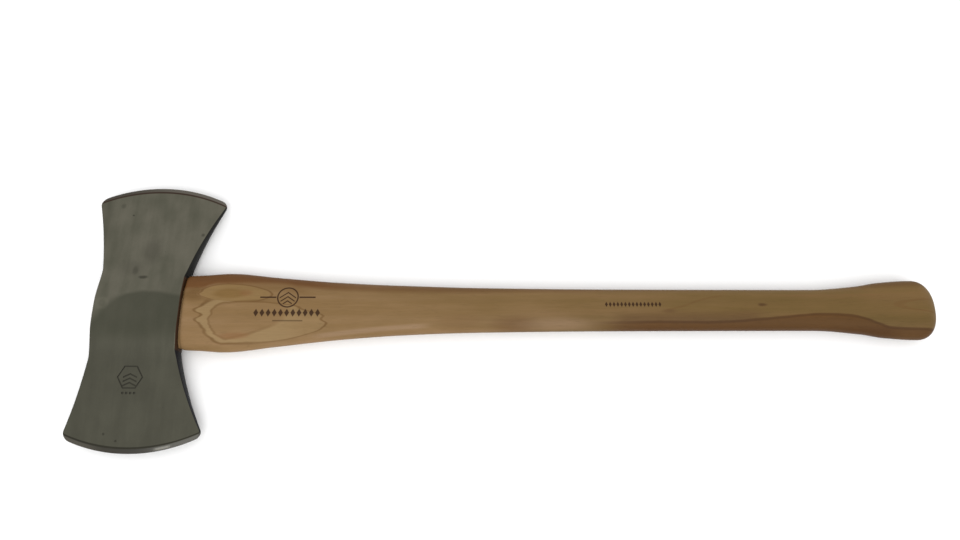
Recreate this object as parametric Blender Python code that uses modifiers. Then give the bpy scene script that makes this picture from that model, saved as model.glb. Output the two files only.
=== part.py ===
"""Double-bit axe: forged head with a through eye, hickory handle, wooden wedge and steel ring wedge.

Metres.  The axe lies on one cheek of its head.  +X runs along the handle from the head to the knob,
+Y runs across the two bits and +Z is the cheeks' normal.  The origin lies on the resting plane,
straight below the centre of the eye.
"""

import math

import bmesh
import bpy

# ---- driving dimensions -------------------------------------------------------------------------

GAP = 0.0003  # clearance between pieces that touch

# Head.  Distances along the bits are measured from the centre of the eye.
CHEEK_HALF = 0.0130  # half the thickness across the cheeks at the eye
MID_Z = CHEEK_HALF  # height of the axe's mid-plane above the resting plane
HEAD_HANG = math.radians(-0.6)  # turn of the forged head on the handle
BIT_REACH = 0.1303  # eye centre to the cutting edge
BIT_ARC_RADIUS = 0.146
BIT_ARC_CENTRE_X = 0.005
CHEEK_FLAT = 0.013  # the cheeks are flat this far each side of the eye's centre
BULGE_END = 0.048  # where the swelling round the eye has run out into the bit
BIT_ROOT_HALF = 0.0105  # half thickness of the plain wedge of the bits, at the eye's centre
BEVEL_WIDTH = 0.0043  # ground bevel behind the cutting edge
BEVEL_HALF = 0.0019  # half thickness where the ground bevel starts
EDGE_HALF = 0.0002  # half thickness of the cutting edge itself
CORNER_RADIUS = 0.0085
SIDE_CROWN = 0.08  # crown of the side faces, as a share of the local half thickness
SIDE_CROWN_MIN = 0.0001
TOE_WAIST = 0.0411  # eye centre to the side face on the eye's open end
TOE_HOLLOW = 0.0009
TOE_FLARE_START = 0.0429
TOE_FLARE_SLOPE = 0.133
TOE_FLARE_GROWTH = 1.14
HEEL_WAIST = 0.0405  # eye centre to the side face on the handle's side
HEEL_FLARE_START = 0.036
HEEL_FLARE_SLOPE = 0.27
HEEL_FLARE_GROWTH = 1.8
HEAD_COLUMNS = 12
HEAD_ROWS = (0.0, 0.0065, 0.013, 0.017, 0.021, 0.026, 0.031, 0.037, 0.043, 0.050, 0.060, 0.072, 0.086,
             0.100, 0.112, 0.120)
CORNER_STEPS = 5

# Eye and the tongue of the handle that fills it.
EYE_HALF_LENGTH = 0.0330
EYE_HALF_WIDTH = 0.0088
EYE_POWER = 2.3
OVAL_SIDES = 36
TONGUE_END_X = -0.0418

# Handle: x, half width, half thickness.  The tongue is left of the first row.
SHOULDER_X = 0.0424
HANDLE_STATIONS = (
    (SHOULDER_X, 0.0354, 0.0110),
    (0.0460, 0.0363, 0.0121),
    (0.0600, 0.0370, 0.0124),
    (0.0830, 0.0385, 0.0125),
    (0.1320, 0.0336, 0.0124),
    (0.1900, 0.0279, 0.0122),
    (0.2470, 0.0243, 0.0120),
    (0.3230, 0.0217, 0.0118),
    (0.4370, 0.0203, 0.0118),
    (0.5520, 0.0199, 0.0118),
    (0.6400, 0.0198, 0.0119),
    (0.6850, 0.0234, 0.0123),
    (0.7060, 0.0269, 0.0127),
    (0.7370, 0.0289, 0.0129),
)
STATION_STEPS = 4
HANDLE_POWER = 2.35
SHOULDER_RISE = 0.0016  # the shoulder's axis lies this far towards +Y from the eye's centre
HANDLE_RISE = 0.0040  # and the grip's axis this far
RISE_START_X = 0.060
RISE_END_X = 0.290
KNOB_DOME = 0.0200
KNOB_POWER = 2.3  # 2 would be a plain elliptic dome
DOME_STEPS = 6

# Wedge and ring wedge.
KERF_END_X = 0.016
KERF_HALF_TOP = 0.0026
KERF_HALF_END = 0.0009
WEDGE_HALF_LENGTH = 0.0312
WEDGE_END_X = 0.0135
RING_OUTER = 0.0065
RING_INNER = 0.0051
RING_DEPTH = 0.012
RING_PROUD = 0.0004
RING_STEPS = 32


# ---- helpers ------------------------------------------------------------------------------------

def clear_scene():
    for thing in list(bpy.data.objects):
        bpy.data.objects.remove(thing, do_unlink=True)


def new_collection(name):
    collection = bpy.data.collections.new(name)
    bpy.context.scene.collection.children.link(collection)
    return collection


def material(name, colour, roughness, metallic):
    made = bpy.data.materials.new(name)
    made.use_nodes = True
    surface = made.node_tree.nodes["Principled BSDF"]
    surface.inputs["Base Color"].default_value = (*colour, 1.0)
    surface.inputs["Roughness"].default_value = roughness
    surface.inputs["Metallic"].default_value = metallic
    made.diffuse_color = (*colour, 1.0)
    return made


def mesh_object(name, points, faces, collection, look=None, sharp_angle=None):
    mesh = bpy.data.meshes.new(name)
    mesh.from_pydata(points, [], faces)
    shell = bmesh.new()
    shell.from_mesh(mesh)
    bmesh.ops.recalc_face_normals(shell, faces=shell.faces)
    shell.to_mesh(mesh)
    shell.free()
    if sharp_angle is not None:
        mesh.shade_smooth()
        mesh.set_sharp_from_angle(angle=sharp_angle)
    if look is not None:
        mesh.materials.append(look)
    made = bpy.data.objects.new(name, mesh)
    collection.objects.link(made)
    return made


def cut(target, cutter):
    step = target.modifiers.new(cutter.name, "BOOLEAN")
    step.operation = "DIFFERENCE"
    step.solver = "EXACT"
    step.object = cutter
    cutter.hide_render = True
    cutter.display_type = "WIRE"


def bridge(rings):
    """Quads between closed rings of equal length; the ring numbering is continuous."""
    count = len(rings[0])
    faces = []
    for row in range(len(rings) - 1):
        for k in range(count):
            after = (k + 1) % count
            faces.append((row * count + k, row * count + after,
                          (row + 1) * count + after, (row + 1) * count + k))
    return faces


def smoothstep(low, high, value):
    share = min(1.0, max(0.0, (value - low) / (high - low)))
    return share * share * (3.0 - 2.0 * share)


def oval(half_y, half_z, power):
    """Points round a superellipse, as (y, z) about its centre."""
    points = []
    for k in range(OVAL_SIDES):
        angle = 2.0 * math.pi * k / OVAL_SIDES
        c, s = math.cos(angle), math.sin(angle)
        points.append((half_y * math.copysign(abs(c) ** (2.0 / power), c),
                       half_z * math.copysign(abs(s) ** (2.0 / power), s)))
    return points


# ---- head ---------------------------------------------------------------------------------------

def edge_reach(x):
    """Distance from the handle's axis to the cutting edge at x."""
    return BIT_REACH - BIT_ARC_RADIUS + math.sqrt(BIT_ARC_RADIUS ** 2 - (x - BIT_ARC_CENTRE_X) ** 2)


def toe_x(y):
    over = max(0.0, abs(y) - TOE_FLARE_START)
    waist = TOE_WAIST - TOE_HOLLOW * smoothstep(0.0, TOE_FLARE_START, abs(y))
    return -(waist + TOE_FLARE_SLOPE * over + TOE_FLARE_GROWTH * over ** 2)


def heel_x(y):
    over = max(0.0, abs(y) - HEEL_FLARE_START)
    return HEEL_WAIST + HEEL_FLARE_SLOPE * over + HEEL_FLARE_GROWTH * over ** 2


def half_thickness(reach):
    """Half the head's thickness where the bit's own arc is `reach` from the eye's centre."""
    to_edge = BIT_REACH - reach
    if to_edge < BEVEL_WIDTH:
        return EDGE_HALF + (BEVEL_HALF - EDGE_HALF) * to_edge / BEVEL_WIDTH

    def wedge(at):
        return BEVEL_HALF + (BIT_ROOT_HALF - BEVEL_HALF) * (1.0 - at / (BIT_REACH - BEVEL_WIDTH))

    if reach <= CHEEK_FLAT:
        return CHEEK_HALF
    bulge = CHEEK_HALF - wedge(CHEEK_FLAT)
    return wedge(reach) + bulge * (1.0 - smoothstep(CHEEK_FLAT, BULGE_END, reach))


def head_point(reach, across):
    """Outline place of a grid point: `reach` along the bits, `across` 0 at the toe to 1 at the heel."""
    to_edge = BIT_REACH - abs(reach)
    inset = 0.0
    if to_edge < CORNER_RADIUS:
        inset = CORNER_RADIUS - math.sqrt(CORNER_RADIUS ** 2 - (CORNER_RADIUS - to_edge) ** 2)
    x, y = 0.0, reach
    for _ in range(12):
        low, high = toe_x(y) + inset, heel_x(y) - inset
        x = low + (high - low) * across
        y = reach * edge_reach(x) / BIT_REACH
    return x, y


def head_ring(reach):
    half = half_thickness(abs(reach))
    crown = SIDE_CROWN_MIN + SIDE_CROWN * half
    places = [head_point(reach, k / HEAD_COLUMNS) for k in range(HEAD_COLUMNS + 1)]
    upper = [(x, y, half) for x, y in places]
    lower = [(x, y, -half) for x, y in reversed(places)]
    heel = (places[-1][0] + crown, places[-1][1], 0.0)
    toe = (places[0][0] - crown, places[0][1], 0.0)
    return upper + [heel] + lower + [toe]


def head_end(start):
    """Faces that close a bit along its cutting edge; `start` is the ring's first point."""
    last = 2 * HEAD_COLUMNS + 2
    faces = [(start + k, start + k + 1, start + last - k - 1, start + last - k)
             for k in range(HEAD_COLUMNS)]
    faces.append((start + HEAD_COLUMNS, start + HEAD_COLUMNS + 1, start + HEAD_COLUMNS + 2))
    faces.append((start + last, start + last + 1, start))
    return faces


def make_head(collection, cutters):
    corner_rows = [BIT_REACH - BEVEL_WIDTH]
    for k in range(CORNER_STEPS + 1):
        corner_rows.append(BIT_REACH - CORNER_RADIUS * (1.0 - math.sin(0.5 * math.pi * k / CORNER_STEPS)))
    half_rows = list(HEAD_ROWS) + sorted(corner_rows)
    rows = [-reach for reach in reversed(half_rows[1:])] + half_rows
    rings = [head_ring(reach) for reach in rows]
    points = [point for ring in rings for point in ring]
    faces = bridge(rings)
    faces += head_end(0)
    faces += head_end(len(points) - len(rings[0]))
    steel = material("forged_steel", (0.13, 0.125, 0.10), 0.32, 1.0)
    head = mesh_object("axe_head", points, faces, collection, steel, math.radians(25))
    head.location = (0.0, 0.0, MID_Z)
    head.rotation_euler = (0.0, 0.0, HEAD_HANG)

    eye_ends = (-2.0 * TOE_WAIST, 2.0 * HEEL_WAIST)
    section = oval(EYE_HALF_LENGTH, EYE_HALF_WIDTH, EYE_POWER)
    eye_rings = [[(x, y, z) for y, z in section] for x in eye_ends]
    eye_faces = bridge(eye_rings)
    eye_faces.append(tuple(range(OVAL_SIDES)))
    eye_faces.append(tuple(range(OVAL_SIDES, 2 * OVAL_SIDES)))
    eye = mesh_object("eye_cutter", eye_rings[0] + eye_rings[1], eye_faces, cutters)
    eye.location = head.location
    eye.rotation_euler = head.rotation_euler
    cut(head, eye)
    return head


# ---- handle -------------------------------------------------------------------------------------

def handle_centre(x):
    """Sideways place of the handle's axis, from the shoulder to the knob."""
    return SHOULDER_RISE + (HANDLE_RISE - SHOULDER_RISE) * smoothstep(RISE_START_X, RISE_END_X, x)


def slopes(places, values):
    """Slopes of a monotone cubic through the values, flat at each high or low point."""
    steps = [(values[k + 1] - values[k]) / (places[k + 1] - places[k]) for k in range(len(values) - 1)]
    made = [steps[0]]
    for before, after in zip(steps, steps[1:]):
        made.append(0.0 if before * after <= 0.0 else 2.0 * before * after / (before + after))
    return made + [0.0]


def cubic(share, width, low, high, low_slope, high_slope):
    square, cube = share ** 2, share ** 3
    return (low * (2 * cube - 3 * square + 1) + low_slope * width * (cube - 2 * square + share)
            + high * (3 * square - 2 * cube) + high_slope * width * (cube - square))


def handle_sections():
    """The handle's sections from the tongue's end to the knob: x, centre's y, half sizes and power."""
    tongue = (EYE_HALF_LENGTH - GAP, EYE_HALF_WIDTH - GAP, EYE_POWER)
    sections = [(x, math.tan(HEAD_HANG) * x, *tongue) for x in (TONGUE_END_X, 0.0, SHOULDER_X)]
    places = [row[0] for row in HANDLE_STATIONS]
    widths = [row[1] for row in HANDLE_STATIONS]
    depths = [row[2] for row in HANDLE_STATIONS]
    width_slopes = slopes(places, widths)
    depth_slopes = slopes(places, depths)
    for k in range(len(places) - 1):
        span = places[k + 1] - places[k]
        for step in range(STATION_STEPS):
            share = step / STATION_STEPS
            x = places[k] + share * span
            width = cubic(share, span, widths[k], widths[k + 1], width_slopes[k], width_slopes[k + 1])
            depth = cubic(share, span, depths[k], depths[k + 1], depth_slopes[k], depth_slopes[k + 1])
            sections.append((x, handle_centre(x), width, depth, HANDLE_POWER))
    for step in range(DOME_STEPS + 1):
        angle = 0.5 * math.pi * step / (DOME_STEPS + 0.35)
        rise = math.sin(angle)
        shrink = (1.0 - rise ** KNOB_POWER) ** (1.0 / KNOB_POWER)
        x = places[-1] + KNOB_DOME * rise
        sections.append((x, handle_centre(x), widths[-1] * shrink, depths[-1] * shrink, HANDLE_POWER))
    return sections


def make_handle(collection):
    rings = []
    for x, centre, half_width, half_depth, power in handle_sections():
        rings.append([(x, centre + y, z) for y, z in oval(half_width, half_depth, power)])
    points = [point for ring in rings for point in ring]
    faces = bridge(rings)
    faces.append(tuple(range(OVAL_SIDES)))
    faces.append(tuple(range(len(points) - OVAL_SIDES, len(points))))
    hickory = material("hickory", (0.27, 0.155, 0.065), 0.42, 0.0)
    handle = mesh_object("handle", points, faces, collection, hickory, math.radians(40))
    handle.location = (0.0, 0.0, MID_Z)
    return handle


# ---- wedges -------------------------------------------------------------------------------------

def wedge_prism(name, half_length, start_x, end_x, half_start, half_end, collection, look=None):
    """A wedge across the eye: thick at start_x and thin at end_x, its length along Y."""
    profile = ((start_x, half_start), (end_x, half_end), (end_x, -half_end), (start_x, -half_start))
    rings = [[(x, side * half_length, z) for x, z in profile] for side in (-1.0, 1.0)]
    faces = bridge(rings) + [(0, 1, 2, 3), (4, 5, 6, 7)]
    made = mesh_object(name, rings[0] + rings[1], faces, collection, look)
    made.location = (0.0, 0.0, MID_Z)
    return made


def turned_ring(name, inner, outer, start_x, end_x, collection, look=None):
    """A ring about the eye's axis, turned from a rectangular profile."""
    mesh = bpy.data.meshes.new(name)
    top, bottom = -start_x, -end_x
    outline = ((outer, 0.0, top), (outer, 0.0, bottom), (inner, 0.0, bottom), (inner, 0.0, top))
    mesh.from_pydata(outline, ((0, 1), (1, 2), (2, 3), (3, 0)), ())
    if look is not None:
        mesh.materials.append(look)
    made = bpy.data.objects.new(name, mesh)
    collection.objects.link(made)
    turn = made.modifiers.new("turn", "SCREW")
    turn.steps = RING_STEPS
    turn.render_steps = RING_STEPS
    turn.use_merge_vertices = True
    turn.merge_threshold = 0.00005
    made.location = (0.0, 0.0, MID_Z)
    made.rotation_euler = (0.0, math.radians(-90), 0.0)
    return made


def make_wedges(handle, collection, cutters):
    kerf = wedge_prism("kerf_cutter", 2.0 * EYE_HALF_LENGTH, TONGUE_END_X - 0.01, KERF_END_X,
                       KERF_HALF_TOP, KERF_HALF_END, cutters)
    cut(handle, kerf)

    maple = material("wedge_wood", (0.40, 0.27, 0.14), 0.55, 0.0)
    wood = wedge_prism("wood_wedge", WEDGE_HALF_LENGTH, TONGUE_END_X, WEDGE_END_X,
                       KERF_HALF_TOP - GAP, KERF_HALF_END - GAP, collection, maple)

    groove = turned_ring("ring_groove_cutter", RING_INNER - GAP, RING_OUTER + GAP, TONGUE_END_X - 0.01,
                         TONGUE_END_X + RING_DEPTH + GAP, cutters)
    cut(handle, groove)
    cut(wood, groove)
    steel = material("wedge_steel", (0.30, 0.29, 0.27), 0.38, 1.0)
    turned_ring("ring_wedge", RING_INNER, RING_OUTER, TONGUE_END_X - RING_PROUD,
                TONGUE_END_X + RING_DEPTH, collection, steel)


def main():
    clear_scene()
    axe = new_collection("double_bit_axe")
    cutters = new_collection("cutters")
    make_head(axe, cutters)
    handle = make_handle(axe)
    make_wedges(handle, axe, cutters)


main()
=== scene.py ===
"""Looks of the double-bit axe: forged head, hickory handle, wooden wedge and steel ring wedge.

Metres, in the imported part's frame: +X from the head to the knob, +Y across the bits, +Z up from the
resting cheek.  Every piece is a finer mesh of the CAD node that it replaces.  Material patterns are
worked out in millimetres from the pieces' own coordinates, whose z is measured from the mid-plane.
"""

import math

import bmesh
import bpy
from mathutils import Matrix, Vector


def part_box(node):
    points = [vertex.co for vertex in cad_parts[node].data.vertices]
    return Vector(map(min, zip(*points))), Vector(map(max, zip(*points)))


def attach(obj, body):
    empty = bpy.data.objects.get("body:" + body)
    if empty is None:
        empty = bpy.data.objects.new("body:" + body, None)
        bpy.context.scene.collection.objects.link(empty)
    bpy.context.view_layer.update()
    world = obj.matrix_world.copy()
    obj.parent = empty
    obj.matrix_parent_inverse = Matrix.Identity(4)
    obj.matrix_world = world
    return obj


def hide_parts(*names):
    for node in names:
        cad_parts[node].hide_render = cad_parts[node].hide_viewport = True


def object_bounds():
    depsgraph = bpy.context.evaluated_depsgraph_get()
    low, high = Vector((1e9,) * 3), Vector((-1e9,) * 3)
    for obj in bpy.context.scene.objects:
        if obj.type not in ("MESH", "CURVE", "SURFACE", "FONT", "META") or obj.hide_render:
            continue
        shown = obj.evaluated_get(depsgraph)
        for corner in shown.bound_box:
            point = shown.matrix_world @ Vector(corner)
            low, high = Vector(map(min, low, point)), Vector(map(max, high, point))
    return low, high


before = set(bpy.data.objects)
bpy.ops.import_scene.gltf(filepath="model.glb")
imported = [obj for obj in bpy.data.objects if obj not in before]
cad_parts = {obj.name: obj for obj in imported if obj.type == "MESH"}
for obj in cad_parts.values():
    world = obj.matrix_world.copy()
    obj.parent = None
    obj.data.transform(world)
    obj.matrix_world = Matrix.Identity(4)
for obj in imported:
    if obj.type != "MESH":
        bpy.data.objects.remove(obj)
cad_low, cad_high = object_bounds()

# ---- the frame's own places ---------------------------------------------------------------------

HEAD_LOW, HEAD_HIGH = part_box("axe_head")
MID_Z = 0.5 * (HEAD_LOW.z + HEAD_HIGH.z)  # height of the axe's mid-plane
MM = 1000.0  # millimetres in a metre
GAP = 0.0003  # clearance between pieces that touch
CUTTER_OVERSHOOT = 0.01  # how far a cutter starts outside the piece that it cuts

# edges that turn by more than this are sharp
SHARP_ON_HEAD = math.radians(32)
SHARP_ON_HANDLE = math.radians(40)
SHARP_ON_WEDGES = math.radians(30)

# ---- head's dimensions, along the bits measured from the centre of the eye ----------------------

CHEEK_HALF = MID_Z  # half the thickness across the cheeks at the eye
HEAD_HANG = math.radians(-0.6)  # turn of the forged head on the handle
BIT_REACH = 0.1303  # eye's centre to the cutting edge
BIT_ARC_RADIUS = 0.146
BIT_ARC_CENTRE_X = 0.005
CHEEK_FLAT = 0.013  # the cheeks are flat this far each side of the eye's centre
BULGE_END = 0.048  # where the swelling round the eye has run out into the bit
BIT_ROOT_HALF = 0.0105  # half thickness of the plain wedge of the bits, at the eye's centre
BEVEL_WIDTH = 0.0043  # ground bevel behind the cutting edge
BEVEL_HALF = 0.0019  # half thickness where the ground bevel starts
EDGE_HALF = 0.0002  # half thickness of the cutting edge itself
CORNER_RADIUS = 0.0085
SIDE_CROWN = 0.08  # crown of the side faces, as a share of the local half thickness
SIDE_CROWN_MIN = 0.0001
TOE_WAIST = 0.0411  # eye's centre to the side face at the eye's open end
TOE_HOLLOW = 0.0009
TOE_FLARE_START = 0.0429
TOE_FLARE_SLOPE = 0.133
TOE_FLARE_GROWTH = 1.14
HEEL_WAIST = 0.0405  # eye's centre to the side face on the handle's side
HEEL_FLARE_START = 0.036
HEEL_FLARE_SLOPE = 0.27
HEEL_FLARE_GROWTH = 1.8

# columns of a cheek, from 0 at the toe to 1 at the heel, with a narrow one beside each rounding
CHEEK_SHARES = (0.0, 0.005, *(k / 42 for k in range(1, 42)), 0.995, 1.0)
CHEEK_COLUMNS = len(CHEEK_SHARES) - 1
FILLET = 0.0014  # rounding between the cheeks and the side faces
FILLET_SHARE = 0.35  # the most of the local half thickness that the rounding may take
FILLET_STEPS = 5
SIDE_STEPS = 8
ROW_STEP = 0.0015  # longest distance between two of the head's rows
CORNER_STEPS = 10
ARC_ROUNDS = 12  # rounds in which a row's end settles on the outline
ON_BEVEL_LINE = 0.00001  # a point this near to the line where a bevel starts lies on it

EYE_HALF_LENGTH = 0.0330
EYE_HALF_WIDTH = 0.0088
EYE_POWER = 2.3  # of the superellipse; 2 would be a plain ellipse
EYE_SIDES = 96
EYE_CHAMFER = 0.0008

# the pressed mark: its place on the cheek, and its shapes as seen from that place
STAMP_DEPTH = 0.0005
STAMP_X = 0.0013
STAMP_Y = -0.0615
STAMP_OUTER_RADIUS = 0.0122
STAMP_INNER_RADIUS = 0.0108
CHEVRON_RISES = (-0.0058, -0.0018, 0.0022)
CHEVRON_REACH = 0.0064
CHEVRON_DROP = 0.0030
CHEVRON_THICK = 0.0015
DOT_COUNT = 4
DOT_PITCH = 0.0036
DOT_RADIUS = 0.0013
DOT_ROW = -0.0145

# ---- handle's dimensions ------------------------------------------------------------------------

TONGUE_END_X = -0.0418
SHOULDER_X = 0.0424
# x, half width, half thickness; the tongue lies left of the first station
HANDLE_STATIONS = (
    (SHOULDER_X, 0.0354, 0.0110),
    (0.0460, 0.0363, 0.0121),
    (0.0600, 0.0370, 0.0124),
    (0.0830, 0.0385, 0.0125),
    (0.1320, 0.0336, 0.0124),
    (0.1900, 0.0279, 0.0122),
    (0.2470, 0.0243, 0.0120),
    (0.3230, 0.0217, 0.0118),
    (0.4370, 0.0203, 0.0118),
    (0.5520, 0.0199, 0.0118),
    (0.6400, 0.0198, 0.0119),
    (0.6850, 0.0234, 0.0123),
    (0.7060, 0.0269, 0.0127),
    (0.7370, 0.0289, 0.0129),
)
HANDLE_SIDES = 96
STATION_LENGTH = 0.0022  # longest distance between two of the handle's rings
HANDLE_POWER = 2.35
SHOULDER_RISE = 0.0016  # the shoulder's axis lies this far towards +Y from the eye's centre
HANDLE_RISE = 0.0040  # and the grip's axis this far
RISE_START_X = 0.060
RISE_END_X = 0.290
KNOB_DOME = 0.0200
KNOB_POWER = 2.3  # 2 would be a plain elliptic dome
DOME_STEPS = 24
DOME_LAST_STEP = 0.35  # share of a step left out at the tip, where the dome ends in a small flat face
SHOULDER_CHAMFER = 0.0007  # at the shoulder and at the tongue's end

# ---- wedges' dimensions -------------------------------------------------------------------------

KERF_END_X = 0.016  # the kerf's bottom
KERF_HALF_TOP = 0.0026
KERF_HALF_END = 0.0009
WEDGE_HALF_LENGTH = 0.0312
WEDGE_END_X = 0.0135
RING_OUTER = 0.0065
RING_INNER = 0.0051
RING_DEPTH = 0.012
RING_PROUD = 0.0004  # how far the ring wedge stands out of the tongue
RING_CHAMFER = 0.0002
RING_STEPS = 96

# ---- light and camera ---------------------------------------------------------------------------

FLOOR_HALF = 60.0  # half the floor's width
FLOOR_COLOUR = (0.95, 0.95, 0.95, 1.0)
WORLD_STRENGTH = 1.0
KEY_STRENGTH = 1.4
KEY_SPREAD = math.radians(50)
KEY_FROM = (0.3, -1.3, 1.7)  # the key light shines from here to the origin
LIGHT_ON_TOP = 1.33  # how bright a white face turned upward is, which the matt colours allow for

CAMERA_LENS = 30.0
CAMERA_SENSOR = 36.0
CAMERA_NEAR = 0.01
CAMERA_FAR = 200.0
CAMERA_TILT = math.radians(18.15)
CAMERA_FROM_MIDDLE = (-0.0269, -0.1975, 0.7387)  # from the middle of the CAD box


# ---- mesh helpers -------------------------------------------------------------------------------

def mesh_object(name, points, faces):
    """A new mesh object in the scene, with its faces turned outward."""
    mesh = bpy.data.meshes.new(name)
    mesh.from_pydata(points, [], faces)
    shell = bmesh.new()
    shell.from_mesh(mesh)
    bmesh.ops.recalc_face_normals(shell, faces=shell.faces)
    shell.to_mesh(mesh)
    shell.free()
    made = bpy.data.objects.new(name, mesh)
    bpy.context.scene.collection.objects.link(made)
    return made


def bridge(rings):
    """Quads between closed rings of equal length; the ring numbering is continuous."""
    count = len(rings[0])
    faces = []
    for row in range(len(rings) - 1):
        for k in range(count):
            after = (k + 1) % count
            faces.append((row * count + k, row * count + after,
                          (row + 1) * count + after, (row + 1) * count + k))
    return faces


def closed_tube(name, rings):
    """Rings joined into a closed shape, each end one flat face."""
    points = [point for ring in rings for point in ring]
    count = len(rings[0])
    faces = bridge(rings)
    faces.append(tuple(range(count)))
    faces.append(tuple(range(len(points) - count, len(points))))
    return mesh_object(name, points, faces)


def cut_all(target, cutters):
    """Cuts the cutters out of the target's mesh and removes them."""
    for cutter in cutters:
        step = target.modifiers.new(cutter.name, "BOOLEAN")
        step.operation = "DIFFERENCE"
        step.solver = "EXACT"
        step.object = cutter
    bpy.context.view_layer.update()
    graph = bpy.context.evaluated_depsgraph_get()
    final = bpy.data.meshes.new_from_object(target.evaluated_get(graph))
    final.name = target.name
    target.modifiers.clear()
    target.data = final
    for cutter in cutters:
        bpy.data.objects.remove(cutter, do_unlink=True)


def finish_piece(piece, look, node, sharp_angle):
    """Gives the piece its material and shading, hides the CAD node that it stands for and hangs the piece
    under the root body.
    """
    piece.data.materials.clear()
    piece.data.materials.append(look)
    piece.data.shade_smooth()
    piece.data.set_sharp_from_angle(angle=sharp_angle)
    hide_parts(node)
    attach(piece, "root")


def smoothstep(low, high, value):
    """0 below low and 1 above high, smooth between."""
    share = min(1.0, max(0.0, (value - low) / (high - low)))
    return share * share * (3.0 - 2.0 * share)


def oval(half_y, half_z, power, sides):
    """Points round a superellipse, as (y, z) about its centre."""
    points = []
    for k in range(sides):
        angle = 2.0 * math.pi * k / sides
        c, s = math.cos(angle), math.sin(angle)
        points.append((half_y * math.copysign(abs(c) ** (2.0 / power), c),
                       half_z * math.copysign(abs(s) ** (2.0 / power), s)))
    return points


# ---- head ---------------------------------------------------------------------------------------

def edge_reach(x):
    """Distance from the handle's axis to the cutting edge at x."""
    return BIT_REACH - BIT_ARC_RADIUS + math.sqrt(BIT_ARC_RADIUS ** 2 - (x - BIT_ARC_CENTRE_X) ** 2)


def toe_x(y):
    """Outline of the head at the eye's open end."""
    over = max(0.0, abs(y) - TOE_FLARE_START)
    waist = TOE_WAIST - TOE_HOLLOW * smoothstep(0.0, TOE_FLARE_START, abs(y))
    return -(waist + TOE_FLARE_SLOPE * over + TOE_FLARE_GROWTH * over ** 2)


def heel_x(y):
    """Outline of the head on the handle's side."""
    over = max(0.0, abs(y) - HEEL_FLARE_START)
    return HEEL_WAIST + HEEL_FLARE_SLOPE * over + HEEL_FLARE_GROWTH * over ** 2


def half_thickness(reach):
    """Half the head's thickness where the bit's own arc is `reach` from the eye's centre."""
    to_edge = BIT_REACH - reach
    if to_edge < BEVEL_WIDTH:
        return EDGE_HALF + (BEVEL_HALF - EDGE_HALF) * to_edge / BEVEL_WIDTH

    def wedge(at):
        return BEVEL_HALF + (BIT_ROOT_HALF - BEVEL_HALF) * (1.0 - at / (BIT_REACH - BEVEL_WIDTH))

    if reach <= CHEEK_FLAT:
        return CHEEK_HALF
    bulge = CHEEK_HALF - wedge(CHEEK_FLAT)
    return wedge(reach) + bulge * (1.0 - smoothstep(CHEEK_FLAT, BULGE_END, reach))


def place_on_arc(x, reach):
    """y at x of the row that lies `reach` from the eye's centre."""
    return reach * edge_reach(x) / BIT_REACH


def row_ends(reach, margin):
    """The toe's and heel's ends of a row of the head, each pulled in by the margin, as (x, y)."""
    to_edge = BIT_REACH - abs(reach)
    inset = margin
    if to_edge < CORNER_RADIUS:
        inset += CORNER_RADIUS - math.sqrt(CORNER_RADIUS ** 2 - (CORNER_RADIUS - to_edge) ** 2)
    ends = []
    for outline, sign in ((toe_x, 1.0), (heel_x, -1.0)):
        y = reach
        for _ in range(ARC_ROUNDS):
            x = outline(y) + sign * inset
            y = place_on_arc(x, reach)
        ends.append((x, y))
    return ends


def side_profile(half, fillet, crown):
    """(outward, z) down a side face from the upper cheek's edge to the lower's, without its ends."""
    plain = half - fillet
    points = []
    for k in range(1, FILLET_STEPS + 1):
        angle = 0.5 * math.pi * k / FILLET_STEPS
        points.append((fillet * (math.sin(angle) - 1.0), plain + fillet * math.cos(angle)))
    for k in range(1, SIDE_STEPS):
        z = plain * (1.0 - 2.0 * k / SIDE_STEPS)
        points.append((crown * (1.0 - (z / plain) ** 2), z))
    for k in reversed(range(1, FILLET_STEPS + 1)):
        angle = 0.5 * math.pi * k / FILLET_STEPS
        points.append((fillet * (math.sin(angle) - 1.0), -plain - fillet * math.cos(angle)))
    return points


def head_ring(reach):
    """Points round one row of the head: upper cheek, heel side, lower cheek, toe side."""
    half = half_thickness(abs(reach))
    fillet = min(FILLET, FILLET_SHARE * half)
    profile = side_profile(half, fillet, SIDE_CROWN_MIN + SIDE_CROWN * half)
    (toe_in, _), (heel_in, _) = row_ends(reach, fillet)
    (toe_out, _), (heel_out, _) = row_ends(reach, 0.0)
    places = []
    for share in CHEEK_SHARES:
        x = toe_in + (heel_in - toe_in) * share
        places.append((x, place_on_arc(x, reach)))
    upper = [(x, y, half) for x, y in places]
    lower = [(x, y, -half) for x, y in reversed(places)]
    heel = [(heel_out + out, place_on_arc(heel_out + out, reach), z) for out, z in profile]
    toe = [(toe_out - out, place_on_arc(toe_out - out, reach), z) for out, z in reversed(profile)]
    return upper + heel + lower + toe


def head_end(start, side_count):
    """Faces that close a bit along its cutting edge; `start` is the ring's first point."""
    columns = CHEEK_COLUMNS
    lower_start = columns + 1 + side_count
    total = 2 * (columns + 1 + side_count)
    faces = []
    for k in range(columns):
        faces.append((start + k, start + k + 1,
                      start + lower_start + columns - k - 1, start + lower_start + columns - k))
    faces.append(tuple(start + k for k in range(columns, lower_start + 1)))
    faces.append(tuple(start + k for k in range(lower_start + columns, total)) + (start,))
    return faces


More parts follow.
